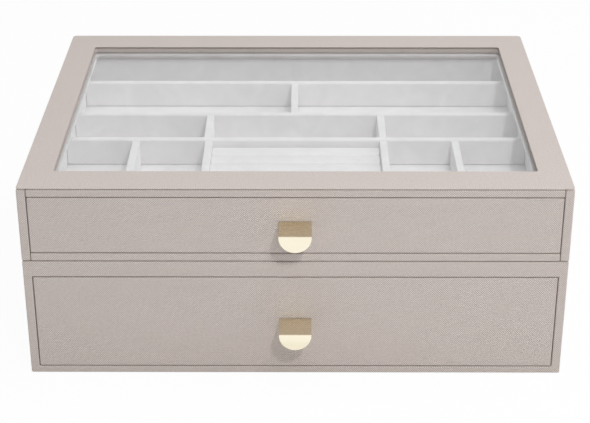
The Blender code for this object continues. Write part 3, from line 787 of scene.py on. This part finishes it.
def makeDivider(node):
    # A section with a rounded top is carried along the board. At each end it is drawn in by a quarter
    # circle, as velvet is where it turns over the card's end. Its top waves by the product of two sines.
    low, high = (np.array(c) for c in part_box(node))
    along = int(high[1] - low[1] > high[0] - low[0])  # 1 for a cross divider, which runs front to back
    across = 1 - along
    kind = divider["cross" if along else "long"]
    half, height = (high[across] - low[across]) / 2, high[2] - low[2] - kind["drop"]
    top, under = kind["round"], divider["bottomRound"]
    rising, falling = quarter(5).T
    side = np.concatenate([half - under * rising[::-1], half - top * rising])
    rise = np.concatenate([under * falling[::-1], height - top * falling])
    section = np.stack([np.concatenate([side, -side[::-1]]), np.concatenate([rise, rise[::-1]])], axis=1)

    length = high[along] - low[along]
    count = max(4, round(length / divider["spacing"]))
    end = kind["end"]
    rising, falling = quarter().T
    inner = np.linspace(end, length - end, count)[1:-1]
    s = np.concatenate([end * rising, inner, length - end * rising[::-1]])
    drawn = np.concatenate([end * falling, np.zeros(len(inner)), end * falling[::-1]])
    middle = np.array([0, height / 2])
    scale = 1 - drawn[:, None] / np.array([half, height / 2])
    rings = middle + (section - middle)[None] * scale[:, None, :]
    (fast, slow), (byX, byY) = divider["waves"], divider["waveShift"]
    wave = divider["wave"] * np.sin(s * fast + low[0] * byX) * np.sin(s * slow + low[1] * byY)
    rings[:, :, 1] -= np.abs(wave)[:, None] * (rings[:, :, 1] / height) ** 2
    points = np.empty((*rings.shape[:2], 3))
    points[..., along] = (low[along] + s)[:, None]
    points[..., across] = (low[across] + high[across]) / 2 + rings[..., 0] + divider["aside"].get(node, 0)
    points[..., 2] = low[2] + rings[..., 1]

    columns = rings.shape[1]
    pair = np.arange(columns // 2 - 1)
    caps = []
    for row in (0, len(s) - 1):
        # an end is closed by joining each point of one side to the point opposite, across the section
        one, other = row * columns + pair, (row + 1) * columns - 1 - pair
        caps.append(np.stack([one, one + 1, other - 1, other], axis=1))
    caps[0] = caps[0][:, ::-1]
    quads = np.concatenate([gridQuads(len(s), columns, False, True), *caps])
    putPiece(f"{node}_velvet", points.reshape(-1, 3), quads, "flocked velvet", [node])


floorPad = {
    "crown": 0.00022,  # how much higher the middle is than the edges
    "bow": 1.5,  # the edge's place on the cosine, in radians
    "round": 0.0009,
    "span": 0.0060,
}


def makeFloorPad(node):
    # Velvet over thin foam: a block with soft edges whose top swells by the product of two cosines.
    low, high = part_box(node)
    points, quads = roundedBlock(low, high, floorPad["round"], floorPad["span"])
    middle, half = (low + high) / 2, (high - low) / 2
    x, y = (points[:, 0] - middle.x) / half.x, (points[:, 1] - middle.y) / half.y
    swell = np.cos(x * floorPad["bow"]) * np.cos(y * floorPad["bow"])
    upper = points[:, 2] > middle.z
    points[upper, 2] -= floorPad["crown"] * (1 - swell[upper])
    piece = putPiece(f"{node}_velvet", points, quads, "flocked velvet", [node])


roll = {
    "columns": 48, "spacing": 0.0012,  # points round a roll, and between rows along it
    "pressed": 0.0011,  # how far the tops are pressed down
    "flat": 5.0,  # power of the section: 2 is round, more is fuller
    "endRound": 0.0009,
    "reach": 0.0007,  # how far the ends swell towards the dividers
    "pleats": 14, "pleatDepth": 0.00018,
    "pleatStart": 0.0004, "pleatReach": 0.0025,  # from the end to where pleats begin, and die away
    "slack": 0.00005,  # depth of the velvet's slow waves
    "slackWaves": 260, "slackLobes": 3,  # radians a metre along a roll, and waves round it
}


def makeRingRoll(node, number):
    # A foam roll in velvet. Its section is the curve |y / a|^p + |z / b|^p = 1. Near each end the section
    # shrinks as a quarter circle does, and small pleats run in to the end's middle, where they are
    # stitched. Slow waves along and round it show where the velvet is slack.
    low, high = (np.array(c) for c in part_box(node))
    high[2] -= roll["pressed"]
    centre, half = (low + high) / 2, (high - low) / 2
    half[0] += roll["reach"]
    count = round(2 * half[0] / roll["spacing"])
    end, turn = roll["endRound"], quarter(8)[:, 0]
    inner = np.linspace(-half[0] + end, half[0] - end, count)[1:-1]
    x = np.concatenate([-half[0] + end * turn, inner, half[0] - end * turn[::-1]])
    fromEnd = half[0] - np.abs(x)
    size = np.sqrt(1 - np.clip(1 - fromEnd / end, 0, 1) ** 2)
    angle = np.linspace(0, 2 * math.pi, roll["columns"], endpoint=False)
    power = 2 / roll["flat"]
    across = np.sign(np.cos(angle)) * np.abs(np.cos(angle)) ** power
    rise = np.sign(np.sin(angle)) * np.abs(np.sin(angle)) ** power
    near = np.exp(-fromEnd / roll["pleatReach"]) * np.clip(fromEnd / roll["pleatStart"], 0, 1)
    pleat = roll["pleatDepth"] * near[:, None] * (1 - np.cos(angle * roll["pleats"] + number))[None] / 2
    alongWave = np.sin(x * roll["slackWaves"] + number * 2)[:, None]
    roundWave = np.cos(angle * roll["slackLobes"] + number)[None]
    slack = roll["slack"] * (1 + alongWave * roundWave) / 2
    shrink = size[:, None] - (pleat + slack) / half[1]
    points = np.stack([
        np.repeat((centre[0] + x)[:, None], len(angle), axis=1),
        centre[1] + half[1] * across[None] * np.maximum(shrink, 0),
        centre[2] + half[2] * rise[None] * np.maximum(shrink, 0),
    ], axis=2)
    quads = gridQuads(len(x), len(angle), False, True)
    piece = putPiece(f"{node}_padded", points.reshape(-1, 3), quads, "flocked velvet", [node])


def makeTray():
    for node in sorted(n for n in frame["nodes"] if "divider" in n):
        makeDivider(node)
    for node in ("upper_drawer_floor_pad", "lower_drawer_floor_pad"):
        makeFloorPad(node)
    for number in range(1, 5):
        makeRingRoll(f"ring_roll_{number}", number)


# Folded brass pulls

pull = {
    "sheet": 0.0012,
    "bend": 0.0016,  # outer radius of the folds, before they are pressed sharp
    "sharp": 7.0,  # power of the folds' section: 2 is round, more is sharper
    "edge": 0.0002,  # rounding of the cut edges
    "spacing": 0.00025,  # between points along the strip
    "rings": 10, "capPoints": 33,  # from the middle line to the edge, and round a half-round end
    "samples": 4000,  # steps in which the bent strip's middle line is summed up
}


def makePull(node):
    # The blank is a strip with half-round ends: a point of it is m + r * e, where m is on its middle line,
    # e points out to its edge and r runs from 0 to the half width. The blank is bent up the leg, over the
    # ledge and down the tab, and each point is moved off the bent middle by its height in the sheet. In a
    # fold its distance from the fold's centre is divided by (|cos t|^p + |sin t|^p)^(1/p), which presses
    # it square.
    low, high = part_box(node)
    half, thick = (high.x - low.x) / 2, pull["sheet"] / 2
    radius = pull["bend"] - thick
    rise = high.z - low.z - thick - radius
    ledge = high.y - low.y - 2 * (thick + radius)
    fold = math.pi / 2 * radius
    total = 2 * rise + 2 * fold + ledge

    # how far the strip has turned at each step along it, and the path that its middle line takes
    ends = np.cumsum([0, rise, fold, ledge, fold, rise])
    samples = np.linspace(0, total, pull["samples"])
    turned = np.interp(samples, ends, [0, 0, math.pi / 2, math.pi / 2, math.pi, math.pi])
    between, step = turned[:-1] / 2 + turned[1:] / 2, total / (pull["samples"] - 1)
    pathY = high.y - thick - np.concatenate([[0], np.cumsum(np.sin(between) * step)])
    pathZ = low.z + np.concatenate([[0], np.cumsum(np.cos(between) * step)])

    # once round the blank: up one side, round one end, down the other side and round the other end
    run = np.linspace(half, total - half, round((total - 2 * half) / pull["spacing"]) + 1)
    cap = np.linspace(-math.pi / 2, math.pi / 2, pull["capPoints"])[1:-1]
    along = np.concatenate([run, np.full(len(cap), total - half), run[::-1], np.full(len(cap), half)])
    turn = np.concatenate([
        np.full(len(run), -math.pi / 2), cap, np.full(len(run), math.pi / 2), cap + math.pi,
    ])

    # from the middle line out over one face, round the cut edge and back over the other face
    edge = pull["edge"]
    rising, falling = quarter(3).T
    face = np.linspace(0, half - edge, pull["rings"])[:-1]
    reach = np.concatenate([face, half - edge * rising[::-1]])
    height = np.concatenate([np.full(len(face), thick), thick - edge * falling[::-1]])
    reach, height = np.concatenate([reach, reach[::-1]]), np.concatenate([height, -height[::-1]])

    s = along[None] + reach[:, None] * np.cos(turn)[None]
    sideways = reach[:, None] * np.sin(turn)[None]
    angle = np.interp(s, samples, turned)
    power = pull["sharp"]
    square = (np.abs(np.cos(angle)) ** power + np.abs(np.sin(angle)) ** power) ** (1 / power)
    off = (radius + height[:, None]) / square - radius
    y = np.interp(s, samples, pathY) + off * np.cos(angle)
    z = np.interp(s, samples, pathZ) + off * np.sin(angle)
    points = np.stack([(low.x + high.x) / 2 + sideways, y, z], axis=2)
    quads = gridQuads(len(reach), len(along), False, True)
    putPiece(f"{node}_polished", points.reshape(-1, 3), quads, "polished brass", [node])


# CAD nodes that stay

kept = {
    "pressed felt": ("lower_base_felt", "upper_base_felt"),
    "zinc plating": (
        "upper_handle_left_screw", "upper_handle_right_screw",
        "lower_handle_left_screw", "lower_handle_right_screw",
    ),
}


def finishKeptNodes():
    for material, names in kept.items():
        for node in names:
            mesh = frame["nodes"][node].data
            mesh.materials.clear()
            mesh.materials.append(bpy.data.materials[material])


makeCamera()
makeLights()
makeRoom()
for make in (makeLeatherette, makeVelvet, makeBrass, makeGlass, makePaper, makeFelt, makeZinc):
    make()
print("camera, light and materials are ready")
makeBoards()
makeLowerShell()
makeTopFrame()
makeGlazing()
print("boards and glazing are made")
makeTray()
print("the tray is lined")
for side in ("upper", "lower"):
    makePull(f"{side}_handle")
finishKeptNodes()
print("the pulls are folded")
